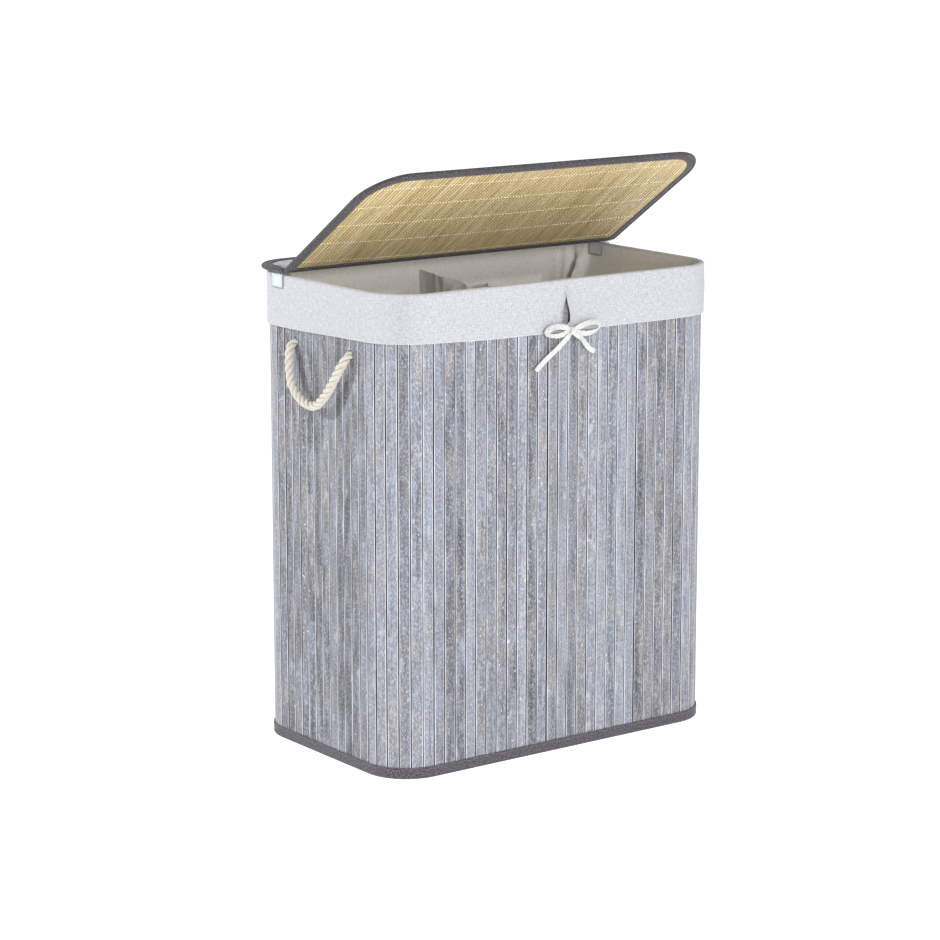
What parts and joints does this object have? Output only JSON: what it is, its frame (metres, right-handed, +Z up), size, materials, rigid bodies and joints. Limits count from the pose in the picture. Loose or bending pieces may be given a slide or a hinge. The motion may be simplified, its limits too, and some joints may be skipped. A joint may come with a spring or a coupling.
{
  "type": "laundry hamper",
  "caption": "Rectangular bamboo-slat laundry hamper with a folding lid, rope handles and a cotton liner with two compartments.",
  "frame": {"origin": "centre of the base cloth's underside, on the floor", "axes": "+Z up, +X along the long face, the front with the bow faces -Y"},
  "size_m": [0.5516, 0.3294, 0.738],
  "materials": {
    "grey_bamboo": "grey stained, matt",
    "natural_bamboo": "natural, fine strips",
    "binding_cloth": "dark grey plain weave",
    "backing_cloth": "plain weave",
    "liner_cotton": "off-white plain weave",
    "cotton_tape": "twill tape",
    "cotton_rope": "three-strand twisted",
    "steel_wire": "drawn",
    "fibreboard": "smooth board",
    "clear_plastic": "clear"
  },
  "bodies": {
    "hamper_body": {"front_slats": "grey_bamboo", "right_slats": "grey_bamboo", "back_slats": "grey_bamboo", "left_slats": "grey_bamboo", "front_left_corner_slats": "grey_bamboo", "front_right_corner_slats": "grey_bamboo", "back_right_corner_slats": "grey_bamboo", "back_left_corner_slats": "grey_bamboo", "backing_cloth": "backing_cloth", "bottom_binding": "binding_cloth", "bottom_hoop": "steel_wire", "top_binding": "binding_cloth", "top_hoop": "steel_wire", "base_cloth": "binding_cloth", "base_board": "fibreboard", "left_front_rope_knot": "cotton_rope", "left_back_rope_knot": "cotton_rope", "right_front_rope_knot": "cotton_rope", "right_back_rope_knot": "cotton_rope"},
    "liner": {"liner_front": "liner_cotton", "cuff_front": "liner_cotton", "liner_right": "liner_cotton", "cuff_right": "liner_cotton", "liner_back": "liner_cotton", "cuff_back": "liner_cotton", "liner_left": "liner_cotton", "cuff_left": "liner_cotton", "liner_front_left_corner": "liner_cotton", "cuff_front_left_corner": "liner_cotton", "liner_front_right_corner": "liner_cotton", "cuff_front_right_corner": "liner_cotton", "liner_back_right_corner": "liner_cotton", "cuff_back_right_corner": "liner_cotton", "liner_back_left_corner": "liner_cotton", "cuff_back_left_corner": "liner_cotton", "liner_bottom": "liner_cotton", "liner_divider": "liner_cotton", "drawstring": "cotton_tape", "bow_knot": "cotton_tape", "bow_left_loop": "cotton_tape", "bow_right_loop": "cotton_tape", "bow_left_tail": "cotton_tape", "bow_right_tail": "cotton_tape"},
    "lid_rear": {"lid_rear_mat": "natural_bamboo", "lid_rear_slats": "grey_bamboo", "lid_rear_wire_frame": "steel_wire", "lid_rear_binding": "binding_cloth", "hinge_tape": "binding_cloth", "left_clip": "clear_plastic", "right_clip": "clear_plastic"},
    "lid_flap": {"lid_flap_mat": "natural_bamboo", "lid_flap_slats": "grey_bamboo", "lid_flap_wire_frame": "steel_wire", "lid_flap_binding": "binding_cloth"},
    "left_handle": {"left_rope_handle": "cotton_rope"},
    "right_handle": {"right_rope_handle": "cotton_rope"}
  },
  "joints": [
    {"name": "liner_lift", "type": "slide", "parent": "hamper_body", "child": "liner", "axis": [0, 0, 1], "range_m": [0, 0.6]},
    {"name": "lid_lift", "type": "slide", "parent": "liner", "child": "lid_rear", "axis": [0, 0, 1], "range_m": [0, 0.06]},
    {"name": "lid_fold", "type": "hinge", "parent": "lid_rear", "child": "lid_flap", "pos_m": [0, 0.0715, 0.605], "axis": [-1, 0, 0], "range_deg": [-34, 136]},
    {"name": "left_handle_swing", "type": "hinge", "parent": "hamper_body", "child": "left_handle", "pos_m": [-0.2609, -0.004, 0.516], "axis": [0, 1, 0], "range_deg": [0, 135]},
    {"name": "right_handle_swing", "type": "hinge", "parent": "hamper_body", "child": "right_handle", "pos_m": [0.2609, -0.004, 0.516], "axis": [0, -1, 0], "range_deg": [0, 135]}
  ]
}
